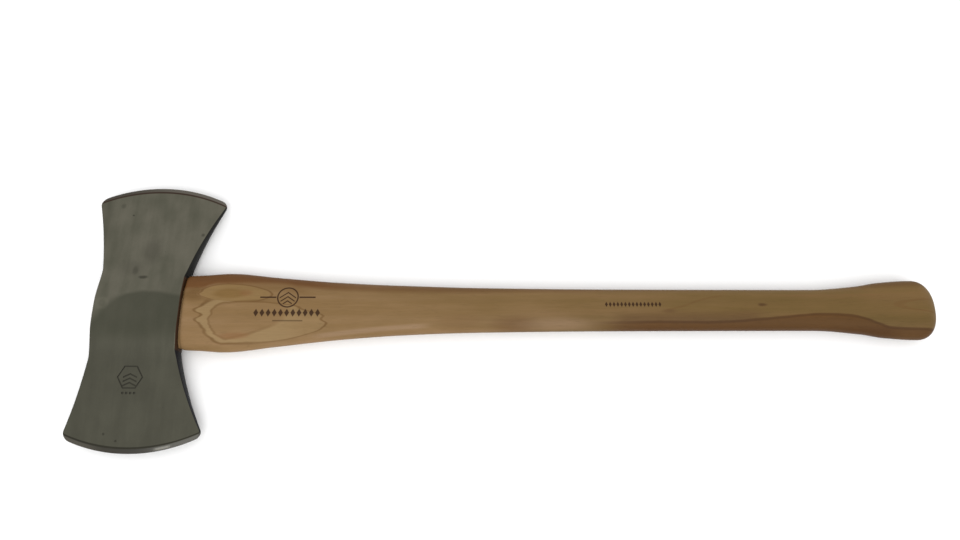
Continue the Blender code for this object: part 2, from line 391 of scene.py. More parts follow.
def make_eye_cutter():
    """The eye, with a chamfer that follows each side face."""
    def ring(x_of, growth):
        section = oval(EYE_HALF_LENGTH + growth, EYE_HALF_WIDTH + growth, EYE_POWER, EYE_SIDES)
        return [(x_of(y, z), y, z) for y, z in section]

    def side(outline, sign):
        def x_of(y, z, further):
            half = half_thickness(abs(y))
            crown = SIDE_CROWN_MIN + SIDE_CROWN * half
            return outline(y) + sign * (crown * (1.0 - (z / (half - FILLET)) ** 2) + further)
        return x_of

    toe, heel = side(toe_x, -1.0), side(heel_x, 1.0)
    outside = 2.0 * EYE_CHAMFER
    rings = [
        ring(lambda y, z: -2.0 * TOE_WAIST, EYE_CHAMFER + outside),
        ring(lambda y, z: toe(y, z, outside), EYE_CHAMFER + outside),
        ring(lambda y, z: toe(y, z, -EYE_CHAMFER), 0.0),
        ring(lambda y, z: heel(y, z, -EYE_CHAMFER), 0.0),
        ring(lambda y, z: heel(y, z, outside), EYE_CHAMFER + outside),
        ring(lambda y, z: 2.0 * HEEL_WAIST, EYE_CHAMFER + outside),
    ]
    return closed_tube("eye_cutter", rings)


def stamp_cutter(outline, inner=None):
    """One pressed shape, sunk in the upper cheek; `inner` leaves its middle standing."""
    loops = [outline] if inner is None else [outline, inner]
    count = len(outline)
    points, faces = [], []
    for loop in loops:
        for level in (-STAMP_DEPTH, STAMP_DEPTH):
            for u, v in loop:
                y = STAMP_Y + v
                points.append((STAMP_X + u, y, half_thickness(abs(y)) + level))

    def ring(number):
        return [number * count + k for k in range(count)]

    def band(first, second):
        for k in range(count):
            after = (k + 1) % count
            faces.append((first[k], first[after], second[after], second[k]))

    band(ring(0), ring(1))
    if inner is None:
        faces.append(tuple(ring(0)))
        faces.append(tuple(ring(1)))
    else:
        band(ring(2), ring(3))
        band(ring(0), ring(2))
        band(ring(1), ring(3))
    return mesh_object("stamp_cutter", points, faces)


def stamp_cutters():
    """A plain pressed mark: a hexagon round three chevrons, over a row of dots."""
    def hexagon(centre_u, centre_v, radius):
        turns = [math.pi * k / 3.0 for k in range(6)]
        return [(centre_u + radius * math.cos(a), centre_v + radius * math.sin(a)) for a in turns]

    outer = hexagon(0.0, 0.0, STAMP_OUTER_RADIUS)
    inner = hexagon(0.0, 0.0, STAMP_INNER_RADIUS)
    cutters = [stamp_cutter(outer, inner)]
    for rise in CHEVRON_RISES:
        foot = rise - CHEVRON_DROP
        below = [(-CHEVRON_REACH, foot), (0.0, rise), (CHEVRON_REACH, foot)]
        above = [(u, v + CHEVRON_THICK) for u, v in reversed(below)]
        cutters.append(stamp_cutter(below + above))
    for k in range(DOT_COUNT):
        centre_u = DOT_PITCH * (k - 0.5 * (DOT_COUNT - 1))
        cutters.append(stamp_cutter(hexagon(centre_u, DOT_ROW, DOT_RADIUS)))
    return cutters


def mark_bevel_lines(mesh):
    """Keeps a crisp line where the ground bevels start."""
    bevel_reach = BIT_REACH - BEVEL_WIDTH
    on_line = []
    for vertex in mesh.vertices:
        x, y = vertex.co[:2]
        on_line.append(abs(abs(y) - place_on_arc(x, bevel_reach)) < ON_BEVEL_LINE)
    for edge in mesh.edges:
        first, second = edge.vertices
        if on_line[first] and on_line[second]:
            edge.use_edge_sharp = True


def make_head(look):
    plain_reach = BIT_REACH - CORNER_RADIUS
    plain_rows = math.ceil(plain_reach / ROW_STEP)
    half_rows = [plain_reach * k / plain_rows for k in range(plain_rows + 1)]
    corner_rows = [BIT_REACH - BEVEL_WIDTH]
    for k in range(1, CORNER_STEPS + 1):
        angle = 0.5 * math.pi * k / CORNER_STEPS
        corner_rows.append(BIT_REACH - CORNER_RADIUS * (1.0 - math.sin(angle)))
    half_rows += sorted(corner_rows)
    rows = [-reach for reach in reversed(half_rows[1:])] + half_rows
    rings = [head_ring(reach) for reach in rows]
    points = [point for ring in rings for point in ring]
    side_count = 2 * FILLET_STEPS + SIDE_STEPS - 1
    faces = bridge(rings)
    faces += head_end(0, side_count)
    faces += head_end(len(points) - len(rings[0]), side_count)
    head = mesh_object("forged_head", points, faces)
    cut_all(head, [make_eye_cutter(), *stamp_cutters()])
    head.location = (0.0, 0.0, MID_Z)
    head.rotation_euler = (0.0, 0.0, HEAD_HANG)
    finish_piece(head, look, "axe_head", SHARP_ON_HEAD)
    mark_bevel_lines(head.data)


# ---- handle -------------------------------------------------------------------------------------

def handle_centre(x):
    """Sideways place of the handle's axis, from the shoulder to the knob."""
    return SHOULDER_RISE + (HANDLE_RISE - SHOULDER_RISE) * smoothstep(RISE_START_X, RISE_END_X, x)


def slopes(places, values):
    """Slopes of a monotone cubic through the values, flat at each high or low point."""
    steps = [(values[k + 1] - values[k]) / (places[k + 1] - places[k]) for k in range(len(values) - 1)]
    made = [steps[0]]
    for before, after in zip(steps, steps[1:]):
        made.append(0.0 if before * after <= 0.0 else 2.0 * before * after / (before + after))
    return made + [0.0]


def cubic(share, width, low, high, low_slope, high_slope):
    """Value at a share of the width on the cubic with these end values and slopes."""
    square, cube = share ** 2, share ** 3
    return (low * (2 * cube - 3 * square + 1) + low_slope * width * (cube - 2 * square + share)
            + high * (3 * square - 2 * cube) + high_slope * width * (cube - square))


def handle_sections():
    """The handle's sections from the tongue's end to the knob: x, centre's y, half sizes and power."""
    tongue = (EYE_HALF_LENGTH - GAP, EYE_HALF_WIDTH - GAP)
    rounded = tuple(size - SHOULDER_CHAMFER for size in tongue)
    sections = [(TONGUE_END_X, math.tan(HEAD_HANG) * TONGUE_END_X, *rounded, EYE_POWER)]
    for x in (TONGUE_END_X + SHOULDER_CHAMFER, 0.0, SHOULDER_X):
        sections.append((x, math.tan(HEAD_HANG) * x, *tongue, EYE_POWER))
    places = [row[0] for row in HANDLE_STATIONS]
    widths = [row[1] for row in HANDLE_STATIONS]
    depths = [row[2] for row in HANDLE_STATIONS]
    width_slopes = slopes(places, widths)
    depth_slopes = slopes(places, depths)
    sections.append((SHOULDER_X, handle_centre(SHOULDER_X), widths[0] - SHOULDER_CHAMFER,
                     depths[0] - SHOULDER_CHAMFER, HANDLE_POWER))
    for k in range(len(places) - 1):
        span = places[k + 1] - places[k]
        count = math.ceil(span / STATION_LENGTH)
        for step in range(count):
            share = step / count
            x = places[k] + share * span
            if k == 0 and step == 0:
                x += SHOULDER_CHAMFER
            width = cubic(share, span, widths[k], widths[k + 1], width_slopes[k], width_slopes[k + 1])
            depth = cubic(share, span, depths[k], depths[k + 1], depth_slopes[k], depth_slopes[k + 1])
            sections.append((x, handle_centre(x), width, depth, HANDLE_POWER))
    for step in range(DOME_STEPS + 1):
        angle = 0.5 * math.pi * step / (DOME_STEPS + DOME_LAST_STEP)
        rise = math.sin(angle)
        shrink = (1.0 - rise ** KNOB_POWER) ** (1.0 / KNOB_POWER)
        x = places[-1] + KNOB_DOME * rise
        sections.append((x, handle_centre(x), widths[-1] * shrink, depths[-1] * shrink, HANDLE_POWER))
    return sections


def wedge_prism(name, half_length, start_x, end_x, half_start, half_end):
    """A wedge across the eye: thick at start_x and thin at end_x, its length along Y."""
    profile = ((start_x, half_start), (end_x, half_end), (end_x, -half_end), (start_x, -half_start))
    return closed_tube(name, [[(x, side * half_length, z) for x, z in profile] for side in (-1.0, 1.0)])


def turned_ring(name, inner, outer, start_x, end_x):
    """A ring about the eye's axis with small chamfers."""
    profile = ((inner + RING_CHAMFER, start_x), (outer - RING_CHAMFER, start_x),
               (outer, start_x + RING_CHAMFER), (outer, end_x - RING_CHAMFER),
               (outer - RING_CHAMFER, end_x), (inner + RING_CHAMFER, end_x),
               (inner, end_x - RING_CHAMFER), (inner, start_x + RING_CHAMFER))
    points, faces = [], []
    count = len(profile)
    for step in range(RING_STEPS):
        angle = 2.0 * math.pi * step / RING_STEPS
        for radius, x in profile:
            points.append((x, radius * math.cos(angle), radius * math.sin(angle)))
        after = (step + 1) % RING_STEPS
        for k in range(count):
            follow = (k + 1) % count
            faces.append((step * count + k, step * count + follow,
                          after * count + follow, after * count + k))
    return mesh_object(name, points, faces)


def ring_groove():
    """Cutter for the groove that the ring wedge sits in."""
    return turned_ring("ring_groove_cutter", RING_INNER - GAP, RING_OUTER + GAP,
                       TONGUE_END_X - CUTTER_OVERSHOOT, TONGUE_END_X + RING_DEPTH + GAP)


def make_handle(look):
    rings = []
    for x, centre, half_width, half_depth, power in handle_sections():
        section = oval(half_width, half_depth, power, HANDLE_SIDES)
        rings.append([(x, centre + y, z) for y, z in section])
    handle = closed_tube("hickory_handle", rings)
    kerf = wedge_prism("kerf_cutter", 2.0 * EYE_HALF_LENGTH, TONGUE_END_X - CUTTER_OVERSHOOT,
                       KERF_END_X, KERF_HALF_TOP, KERF_HALF_END)
    cut_all(handle, [kerf, ring_groove()])
    handle.location = (0.0, 0.0, MID_Z)
    finish_piece(handle, look, "handle", SHARP_ON_HANDLE)


def make_wood_wedge(look):
    wedge = wedge_prism("eye_wedge", WEDGE_HALF_LENGTH, TONGUE_END_X, WEDGE_END_X,
                        KERF_HALF_TOP - GAP, KERF_HALF_END - GAP)
    cut_all(wedge, [ring_groove()])
    wedge.location = (0.0, 0.0, MID_Z)
    finish_piece(wedge, look, "wood_wedge", SHARP_ON_WEDGES)


def make_ring_wedge(look):
    ring = turned_ring("round_wedge", RING_INNER, RING_OUTER, TONGUE_END_X - RING_PROUD,
                       TONGUE_END_X + RING_DEPTH)
    ring.location = (0.0, 0.0, MID_Z)
    finish_piece(ring, look, "ring_wedge", SHARP_ON_WEDGES)


# ---- material helpers ---------------------------------------------------------------------------

def seen(red, green, blue, light):
    """The shader colour that looks like these 0 to 255 screen values under that much light."""
    def linear(value):
        """The sRGB curve, from a screen value to light."""
        share = value / 255.0
        return share / 12.92 if share <= 0.04045 else ((share + 0.055) / 1.055) ** 2.4
    return (linear(red) / light, linear(green) / light, linear(blue) / light, 1.0)


def matt_colour(red, green, blue):
    """Colour of a surface that scatters light: the wood, or the head's side faces, which are painted dark
    for their shade.
    """
    return seen(red, green, blue, LIGHT_ON_TOP)


def metal_colour(red, green, blue):
    """Colour of bare metal, which mirrors the even light of the world."""
    return seen(red, green, blue, WORLD_STRENGTH)


class Term:
    """A number that varies over a surface.  Sums and products of terms are made with Math nodes."""

    def __init__(self, look, socket):
        self.look = look
        self.socket = socket

    def __add__(self, other):
        return self.look.math("ADD", self, other)

    def __sub__(self, other):
        return self.look.math("SUBTRACT", self, other)

    def __mul__(self, other):
        return self.look.math("MULTIPLY", self, other)

    def __truediv__(self, other):
        return self.look.math("DIVIDE", self, other)

    def __abs__(self):
        return self.look.math("ABSOLUTE", self)

    __radd__ = __add__
    __rmul__ = __mul__

    def __rsub__(self, other):
        return self.look.math("SUBTRACT", other, self)


class Look:
    """A material in the making, with a short call for each kind of node it uses."""

    def __init__(self, name):
        self.material = bpy.data.materials.new(name)
        self.material.use_nodes = True
        self.tree = self.material.node_tree
        self.surface = self.tree.nodes["Principled BSDF"]
        place = self.tree.nodes.new("ShaderNodeTexCoord")
        to_mm = self.node("ShaderNodeVectorMath", {0: place.outputs["Object"], 1: (MM,) * 3},
                          operation="MULTIPLY")
        self.x, self.y, self.z = self.split(to_mm)
        self.normal = self.split(place.outputs["Normal"])

    def feed(self, socket, value):
        """Links the socket to a term or another socket, or sets it to a plain value."""
        if isinstance(value, Term):
            self.tree.links.new(value.socket, socket)
        elif isinstance(value, bpy.types.NodeSocket):
            self.tree.links.new(value, socket)
        else:
            socket.default_value = value

    def node(self, kind, inputs, output=0, **settings):
        """A new node with its inputs fed; gives one of its outputs."""
        made = self.tree.nodes.new(kind)
        for name, value in settings.items():
            setattr(made, name, value)
        for key, value in inputs.items():
            self.feed(made.inputs[key], value)
        return made.outputs[output]

    def split(self, vector):
        """The vector's x, y and z as terms."""
        made = self.tree.nodes.new("ShaderNodeSeparateXYZ")
        self.feed(made.inputs[0], vector)
        return tuple(Term(self, made.outputs[k]) for k in range(3))

    def math(self, operation, *values):
        return Term(self, self.node("ShaderNodeMath", dict(enumerate(values)), operation=operation))

    def smallest(self, first, second):
        return self.math("MINIMUM", first, second)

    def largest(self, first, second):
        return self.math("MAXIMUM", first, second)

    def rise(self, value, low, high):
        """0 below low and 1 above high, smooth between; low above high gives a fall."""
        if low > high:
            return 1.0 - self.rise(value, high, low)
        inputs = {0: value, 1: low, 2: high, 3: 0.0, 4: 1.0}
        return Term(self, self.node("ShaderNodeMapRange", inputs, interpolation_type="SMOOTHSTEP"))

    def window(self, value, low, high, soft):
        """1 between low and high, falling to 0 over the soft width outside them."""
        return self.rise(value, low - soft, low) * self.rise(value, high + soft, high)

    def line(self, value, width, soft):
        """1 where the value is within half the width of 0."""
        return self.rise(abs(value), 0.5 * width + soft, 0.5 * width)

    def noise(self, scales, detail=2.0, offset=0.0, roughness=0.5, wander=None):
        """Noise from -1 to 1, with `scales` cycles per millimetre along x, y and z; `wander` bends it."""
        x, y, z = self.x, self.y, self.z
        if wander is not None:
            y = y + wander
        place = self.node("ShaderNodeCombineXYZ",
                          {0: x * scales[0] + offset, 1: y * scales[1] + offset, 2: z * scales[2]})
        inputs = {"Vector": place, "Scale": 1.0, "Detail": detail, "Roughness": roughness}
        return Term(self, self.node("ShaderNodeTexNoise", inputs)) * 2.0 - 1.0

    def curve(self, value, points):
        """A smooth curve through the points, given as (value, result) pairs."""
        low, high = points[0][0], points[-1][0]
        results = [point[1] for point in points]
        least, span = min(results), max(results) - min(results)
        made = self.tree.nodes.new("ShaderNodeFloatCurve")
        line = made.mapping.curves[0]
        places = [((at - low) / (high - low), (result - least) / span) for at, result in points]
        line.points[0].location = places[0]
        line.points[1].location = places[-1]
        for place in places[1:-1]:
            line.points.new(*place)
        made.mapping.update()
        self.feed(made.inputs["Value"], (value - low) / (high - low))
        return Term(self, made.outputs[0]) * span + least

    def blend(self, share, first, second, kind="MIX"):
        """The first colour at share 0 and the second at 1; kind MULTIPLY multiplies them instead."""
        inputs = {0: share, 6: first, 7: second}
        return self.node("ShaderNodeMix", inputs, output=2, data_type="RGBA", blend_type=kind)

    def shade(self, colour, amount):
        """The colour times (1 + amount)."""
        scaled = self.node("ShaderNodeCombineXYZ", {0: amount + 1.0, 1: amount + 1.0, 2: amount + 1.0})
        return self.blend(1.0, colour, scaled, "MULTIPLY")

    def finish(self, colour, roughness, height, bump_strength, bump_distance, **fixed):
        """Feeds the shader; `fixed` are plain values for sockets, with _ for each space."""
        surface = self.surface.inputs
        self.feed(surface["Base Color"], colour)
        self.feed(surface["Roughness"], roughness)
        bump = {"Strength": bump_strength, "Distance": bump_distance, "Height": height}
        self.feed(surface["Normal"], self.node("ShaderNodeBump", bump))
        for name, value in fixed.items():
            surface[name.replace("_", " ")].default_value = value
        return self.material


def egg(look, x, y, centre, left, right, half_height, left_rise=0.0, right_rise=0.0):
    """Distance over an egg's own size: 1 on its outline.

    Its tips lie left and right of the centre, and each rise is how far a tip lies above it.
    """
    along = x - centre[0]
    to_right = look.largest(along, 0.0) / right
    to_left = look.smallest(along, 0.0) / -left
    across = (y - centre[1] - to_right * right_rise - to_left * left_rise) / half_height
    sides = to_right + to_left
    return look.math("SQRT", sides * sides + across * across)


# ---- steel --------------------------------------------------------------------------------------

# stains on the upper cheek, in mm: centre, half length along x, half width along y, strength
STAINS = (
    ((0.8, 34.5), 4.6, 1.8, 0.5),
    ((-8.0, 41.5), 3.0, 4.6, 0.2),
    ((-31.4, 110.2), 2.6, 2.6, 0.22),
    ((-20.0, 100.0), 1.0, 1.0, 0.5),
    ((51.6, 79.5), 1.8, 1.8, 0.4),
    ((-17.2, -113.1), 1.2, 1.2, 0.4),
    ((-5.1, -119.2), 1.2, 1.2, 0.4),
    ((5.0, 62.0), 9.0, 13.0, 0.24),
    ((-12.0, 44.0), 14.0, 9.0, 0.14),
)


def steel_look():
    look = Look("olive_grey_steel")
    x, y = look.x, look.y
    # how far the place is from the cutting edge, along y, as the mesh has it
    from_centre = x - MM * BIT_ARC_CENTRE_X
    arc = look.math("SQRT", (MM * BIT_ARC_RADIUS) ** 2 - from_centre * from_centre)
    edge = arc + MM * (BIT_REACH - BIT_ARC_RADIUS)
    reach = abs(y) / edge * (MM * BIT_REACH)
    to_edge = MM * BIT_REACH - reach
    cheek = look.rise(abs(look.normal[2]), 0.75, 0.95)
    bevel = look.rise(to_edge, MM * BEVEL_WIDTH + 0.1, MM * BEVEL_WIDTH - 0.1)

    cloudy = look.noise((0.028, 0.022, 0.02), 2.0, 4.0)
    blotches = look.noise((0.07, 0.045, 0.05), 3.0, 15.0)
    streaks = look.noise((0.16, 0.014, 0.02), 3.0, 7.0)
    fine = look.noise((1.6, 0.06, 0.1), 3.0, 3.0)
    grain = look.noise((0.5, 0.5, 0.5), 4.0, 11.0)
    specks = look.noise((0.30, 0.30, 0.30), 1.0, 5.0)
    tone = look.rise(streaks * 0.4 + cloudy * 0.7 + blotches * 0.6, -0.6, 0.6)

    plain = look.blend(tone, metal_colour(87, 86, 74), metal_colour(104, 101, 89))
    # painted reflection: the zone round the eye is darker, as a dark reflection on the cheek, with an
    # arched upper border
    arch = look.curve(x, ((-46, -14), (-36, -3), (-28, 7), (-16, 15), (-4, 18.5), (15, 19), (36, 16.5),
                          (48, 13)))
    fading = look.rise(x, -10.0, -34.0) * 2.5 + 1.0
    dark_reflection_zone = look.rise((arch - y + streaks * 0.8 + blotches * 2.0) / fading, -2.4, 2.4)
    lower = look.rise(y + blotches * 3.0, -18.0, -32.0)
    lower_tone = look.blend(tone, metal_colour(77, 76, 66), metal_colour(85, 84, 73))
    dark_reflection_tone = look.blend(tone, metal_colour(74, 74, 63), metal_colour(81, 80, 69))
    colour = look.blend(dark_reflection_zone, plain, look.blend(lower, dark_reflection_tone, lower_tone))
    # the upper bit's toe side is duller, and a scuff and small stains mark the cheek
    dull = look.rise(x, -37.0, -47.0) * look.rise(y, 34.0, 60.0)
    scuff = egg(look, x, y, (-33.0, 7.5), 5.2, 5.2, 4.6)
    scuffed = look.line(scuff - 1.0 + grain * 0.15, 0.3, 0.35)
    stains = 0.0
    for centre, half_length, half_width, strength in STAINS:
        stain = egg(look, x + grain * 0.8, y + grain * 0.8, centre, half_length, half_length, half_width)
        stains = look.rise(stain, 1.4, 0.4) * strength + stains
    stains = stains * look.rise(look.z, 0.0, 1.0)
    pits = look.rise(specks + grain * 0.35, 0.60, 0.75)
    shade = fine * 0.025 + grain * 0.035 - pits * 0.30 - dull * 0.18 + scuffed * 0.10 - stains
    colour = look.shade(colour, shade)
    # the pressed mark's hollows are painted darker, found by how far the place lies below the bit's plain
    # wedge
    root, land = MM * BIT_ROOT_HALF, MM * BEVEL_HALF
    wedge = land + (root - land) * (1.0 - reach / (MM * (BIT_REACH - BEVEL_WIDTH)))
    sunk = look.rise(wedge - look.z, 0.06, 0.20) * look.window(reach, 49.0, 80.0, 0.5) * cheek
    sunk = sunk * look.rise(look.z, 0.0, 1.0)
    colour = look.blend(sunk * 0.8, colour, metal_colour(56, 55, 48))

    # the side faces are matt and painted dark for the shade on them, olive on one bit, bluish on the
    # other, with a painted reflection of the handle's brown beside it
    side_shade_tone = look.rise(cloudy + streaks, -0.5, 0.7)
    olive_side_shade = look.blend(side_shade_tone, matt_colour(20, 20, 17), matt_colour(28, 28, 25))
    bluish_side_shade = look.blend(side_shade_tone, matt_colour(22, 23, 26), matt_colour(31, 32, 37))
    side = look.blend(look.rise(y, -20.0, 20.0), bluish_side_shade, olive_side_shade)
    # painted reflection of the handle's brown on the side faces beside it
    handle_reflection = look.rise(x, 18.0, 30.0) * look.window(y, -34.0, 34.0, 3.0)
    side = look.blend(handle_reflection * 0.85, side, matt_colour(66, 43, 25))
    colour = look.blend(cheek, side, colour)
    # the ground bevels, each with painted reflection shading from toe to heel; the -Y one has painted
    # shade in the middle and a painted glint
    on_minus_y = look.rise(y, 0.0, -1.0)
    at_toe = look.blend(on_minus_y, metal_colour(66, 60, 52), metal_colour(84, 81, 73))
    at_heel = look.blend(on_minus_y, metal_colour(97, 92, 84), metal_colour(66, 65, 61))
    ground = look.blend(look.rise(x + fine * 4.0, -48.0, 40.0), at_toe, at_heel)
    painted_glint = look.window(x + fine * 3.0, 33.0, 41.0, 5.0) * look.line(to_edge - 2.0, 1.2, 0.8) * 1.2
    ground = look.shade(ground, (painted_glint - look.window(x, -14.0, 16.0, 22.0) * 0.3) * on_minus_y)
    colour = look.blend(bevel, colour, ground)
    # and a dark line just behind each bevel
    dark_line = look.line(to_edge - (MM * BEVEL_WIDTH + 0.5), 1.2, 0.6) * 0.85
    line_colour = look.blend(on_minus_y, metal_colour(54, 38, 31), metal_colour(49, 48, 41))
    colour = look.blend(dark_line, colour, line_colour)

    surface = look.surface.inputs
    look.feed(surface["Metallic"], cheek)
    roughness = 0.30 + streaks * 0.03 + fine * 0.03 + pits * 0.15 + (1.0 - cheek) * 0.25
    height = fine * 0.2 + streaks * 0.2 + grain * 0.12 - pits * 0.8 + blotches * 0.8
    return look.finish(colour, roughness, height, 0.2, 0.0004, Specular_IOR_Level=0.12)


def ring_steel_look():
    look = Look("wedge_ring_steel")
    turned = look.noise((3.0, 0.6, 0.6), 3.0)
    stain = look.noise((0.25, 0.25, 0.25), 3.0, 4.0)
    colour = look.blend(look.rise(stain, -0.2, 0.6), metal_colour(140, 138, 132),
                        metal_colour(96, 88, 78))
    colour = look.shade(colour, turned * 0.08)
    roughness = 0.36 + stain * 0.12 + turned * 0.05
    return look.finish(colour, roughness, turned + stain, 0.2, 0.0003, Metallic=1.0)


# ---- wood ---------------------------------------------------------------------------------------

# centre of the burnt mark's roundel, in mm
MARK_X = 142.0
MARK_Y = 13.6


def burnt_mark(look, top_side):
    """A plain burnt-in mark: a roundel between two bars, a row of lozenges and a rule."""
    x, y = look.x, look.y

    def lozenges(centre_x, centre_y, half_length, pitch, half_width, half_height):
        along = x - centre_x
        cell = look.math("PINGPONG", along + 50.0 * pitch, 0.5 * pitch)
        shape = look.rise(cell / half_width + abs(y - centre_y) / half_height, 1.15, 0.85)
        return shape * look.rise(abs(along), half_length + 0.05, half_length)

    def bar(centre_x, centre_y, half_length, half_height):
        wide = look.rise(abs(x - centre_x), half_length + 0.3, half_length)
        return wide * look.rise(abs(y - centre_y), half_height + 0.3, half_height)

    from_x, from_y = x - MARK_X, y - MARK_Y
    round_off = look.math("SQRT", from_x * from_x + from_y * from_y)
    mark = look.line(round_off - 9.6, 1.0, 0.35)
    inside = look.rise(round_off, 8.0, 7.6)
    fold = from_y + abs(from_x) * 0.7
    for height in (-3.6, 0.6, 4.8):
        mark = look.largest(mark, look.line(fold - height, 1.0, 0.35) * inside)
    for aside in (-18.5, 18.5):
        mark = look.largest(mark, bar(MARK_X + aside, MARK_Y, 7.5, 0.6))
    mark = look.largest(mark, lozenges(MARK_X, -1.6, 31.9, 5.8, 2.3, 3.8))
    mark = look.largest(mark, bar(143.0, -9.2, 14.0, 0.5) * 0.6)
    mark = look.largest(mark, lozenges(468.0, 6.7, 27.0, 3.6, 1.4, 2.6))
    return mark * top_side


def hickory_look():
    look = Look("lacquered_hickory")
    x, y, z = look.x, look.y, look.z
    top_side = look.rise(z, 4.0, 7.5)
    flat = look.rise(abs(z), 4.0, 8.0)

    drift = look.noise((0.006, 0.02, 0.03), 2.0, 2.0)
    sway = look.noise((0.016, 0.05, 0.05), 3.0, 21.0)
    wander = drift * 4.0 + sway * 1.2
    broad = look.noise((0.004, 0.10, 0.14), 3.0, 5.0, wander=wander)
    streaks = look.noise((0.010, 0.34, 0.40), 4.0, 13.0, roughness=0.6, wander=wander)
    fibres = look.noise((0.06, 2.2, 2.2), 3.0, 31.0, wander=wander)
    pores = look.noise((0.09, 2.9, 2.9), 1.0, 47.0, wander=wander)
    pores = look.rise(pores + streaks * 0.25, 0.26, 0.55)
    blotches = look.noise((0.02, 0.06, 0.08), 2.0, 61.0)

    along = look.rise(x, 90.0, 640.0)
    base = look.blend(along, matt_colour(148, 119, 85), matt_colour(117, 91, 55))
    yellow = look.blend(along, matt_colour(137, 108, 70), matt_colour(111, 88, 48))
    pink = look.blend(along, matt_colour(146, 112, 80), matt_colour(116, 84, 52))
    heart = look.blend(along, matt_colour(109, 73, 39), matt_colour(97, 66, 32))
    cream = matt_colour(156, 131, 92)
    cream_pink = matt_colour(156, 128, 100)
    late = matt_colour(108, 78, 43)

    colour = look.blend(look.rise(broad + blotches * 0.5, -0.5, 0.6), yellow, base)
    colour = look.blend(look.rise(streaks + broad * 0.5, 0.05, 0.8) * 0.6, colour, pink)

    # reddish heartwood along the upper edge, weaker from the grip on, and a brown band below it
    upper_border = look.curve(x, ((40, 20.5), (56, 21), (66, 24), (80, 26.5), (110, 27), (150, 23.5),
                                  (200, 20), (320, 18), (500, 20), (620, 22)))
    upper = look.rise(y + sway * 1.5 - upper_border, -2.0, 4.5)
    beside = look.rise(y + sway * 1.5 - upper_border, -10.0, -3.0) * look.window(x, 85.0, 150.0, 20.0)
    colour = look.blend(beside * 0.7, colour, matt_colour(124, 94, 57))
    colour = look.blend(upper * (1.0 - look.rise(x, 150.0, 230.0) * 0.35), colour, heart)
    # heartwood again under a long wavy border in the lower half of the grip and the knob
    lower_border = look.curve(x, ((400, -13), (440, -10), (500, -9), (545, -9.2), (580, -7.5), (608, -5),
                                  (629, -3), (650, -2), (668, -3), (684, -6), (700, -12), (716, -15.5),
                                  (760, -16.5)))
    under = lower_border - y + sway * 1.2
    start = look.rise(x, 415.0, 490.0)
    haze = look.rise(under, -13.0, -2.0) * look.window(x, 465.0, 575.0, 25.0)
    colour = look.blend(haze * 0.75, colour, matt_colour(102, 75, 45))
    colour = look.blend(look.rise(under, -1.8, 2.2) * start * 0.95, colour, heart)
    low_edge = look.rise(y, -11.0, -18.0) * start * look.rise(x, 730.0, 700.0)
    colour = look.blend(look.rise(under, 0.0, 1.0) * low_edge * 0.5, colour, matt_colour(74, 44, 16))
    colour = look.blend(look.line(under - 0.6, 1.1, 1.2) * start * 0.6, colour, matt_colour(76, 48, 22))

    # growth-ring figure where the swell's flat face cuts through the layers
    jag = look.noise((0.03, 0.17, 0.1), 2.0, 71.0)
    zigzag = look.curve(y, ((-40, 8), (-31, 8), (-25, 5), (-20, 1.5), (-15.5, -1.5), (-11.5, -1.5),
                            (-8.6, 1), (-3.6, -5), (0.8, 1), (6.3, -5), (12, -2), (14.2, 0), (16.7, 2.5),
                            (19.4, 0), (26, 0)))
    bent_x = x + zigzag + jag * 3.0
    bent_y = y + sway * 2.0
    faint = look.rise(look.noise((0.03, 0.12, 0.1), 2.0, 83.0), -0.9, 0.3)
    big = egg(look, bent_x, bent_y, (89.0, -10.2), 34.0, 88.0, 20.2, 10.0, -1.0)
    inner = egg(look, x + jag * 4.0, bent_y, (86.0, -9.0), 16.5, 56.0, 17.0, 2.0, 9.0)
    small_x = x + zigzag * look.rise(x, 110.0, 80.0) + jag * 2.0
    small = egg(look, small_x, bent_y, (85.0, 18.4), 26.0, 42.0, 9.0, 0.0, -2.5)
    core = egg(look, x + jag * 3.0, bent_y, (86.0, 17.8), 17.0, 18.0, 5.2)
    patch = egg(look, x, y, (93.0, -23.5), 15.0, 17.0, 3.4, 0.0, 1.0)
    both = look.smallest(big, small)
    ring = look.rise(small, 1.0, 0.90)
    loop = look.rise(big, 1.05, 0.95) * look.rise(inner, 0.94, 1.10)
    pale = loop * (1.0 - ring) * (1.0 - look.rise(x, 130.0, 162.0) * 0.5)
    colour = look.blend(pale * 0.6 * flat, colour, cream)
    colour = look.blend(ring * 0.75 * flat, colour, matt_colour(141, 113, 71))
    olive = egg(look, x, y, (52.0, 17.0), 12.0, 15.0, 7.0)
    colour = look.blend(look.rise(olive, 1.4, 0.4) * 0.8 * look.rise(both, 1.0, 1.1), colour,
                        matt_colour(110, 81, 45))
    sharper = 1.0 + look.rise(x, 100.0, 165.0) * 2.2
    outline = look.line((both - 1.0) * sharper, 0.02, 0.075) * (0.35 + faint * 0.4)
    colour = look.blend(outline * flat, colour, late)
    inner_line = look.line(inner - 1.0, 0.02, 0.10) * look.rise(x, 140.0, 105.0) * (0.2 + faint * 0.35)
    colour = look.blend(inner_line * flat, colour, late)
    colour = look.blend(look.rise(core, 1.2, 0.6) * 0.75 * flat, colour, matt_colour(126, 96, 53))
    # brown tints in the figure, and a painted shadow on the grip
    tint = egg(look, x, y, (102.0, 18.0), 8.0, 8.0, 4.0)
    colour = look.blend(look.rise(tint, 1.2, 0.3) * 0.5 * flat, colour, matt_colour(134, 94, 58))
    colour = look.blend(look.rise(patch, 1.2, 0.5) * 0.6 * flat, colour, matt_colour(136, 98, 62))
    painted_grip_shadow = egg(look, x, y, (358.0, -12.0), 26.0, 20.0, 8.0)
    colour = look.blend(look.rise(painted_grip_shadow, 1.3, 0.3) * 0.5, colour, matt_colour(112, 80, 50))

